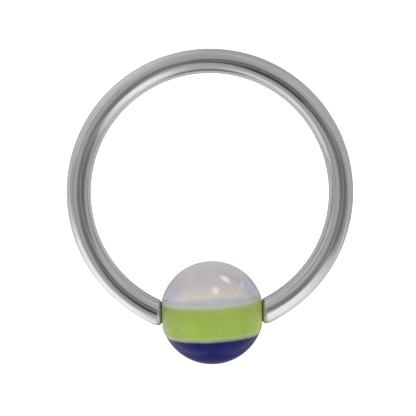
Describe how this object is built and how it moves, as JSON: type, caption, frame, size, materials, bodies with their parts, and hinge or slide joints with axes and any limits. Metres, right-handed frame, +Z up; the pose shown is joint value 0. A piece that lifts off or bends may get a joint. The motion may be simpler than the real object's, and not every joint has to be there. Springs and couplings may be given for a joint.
{
  "type": "captive bead ring",
  "caption": "Hoop of round steel wire whose two cut ends sit in the dimples of a layered acrylic bead, so that the bead closes the hoop and can turn.",
  "frame": {"origin": "on the table that the ring lies on, under the middle of the whole ring", "axes": "+Z up from the table, -Y towards the bead, +X to the right with the bead nearest; the hoop leans 9 degrees, bead side up"},
  "size_m": [0.0138, 0.0152, 0.005],
  "materials": {
    "steel_wire": "polished drawn wire",
    "pearl_acrylic": "polished, clear with a pearly sheen",
    "pale_acrylic": "polished, milky",
    "green_acrylic": "polished",
    "navy_acrylic": "polished"
  },
  "bodies": {
    "hoop": {"hoop": "steel_wire"},
    "bead": {"pearl_cap": "pearl_acrylic", "upper_seam": "pale_acrylic", "green_band": "green_acrylic", "lower_seam": "pale_acrylic", "navy_cap": "navy_acrylic"}
  },
  "joints": [
    {"name": "bead_spin", "type": "hinge", "parent": "hoop", "child": "bead", "pos_m": [0, -0.00507, 0.0025], "axis": [1, 0, 0], "continuous": true}
  ]
}
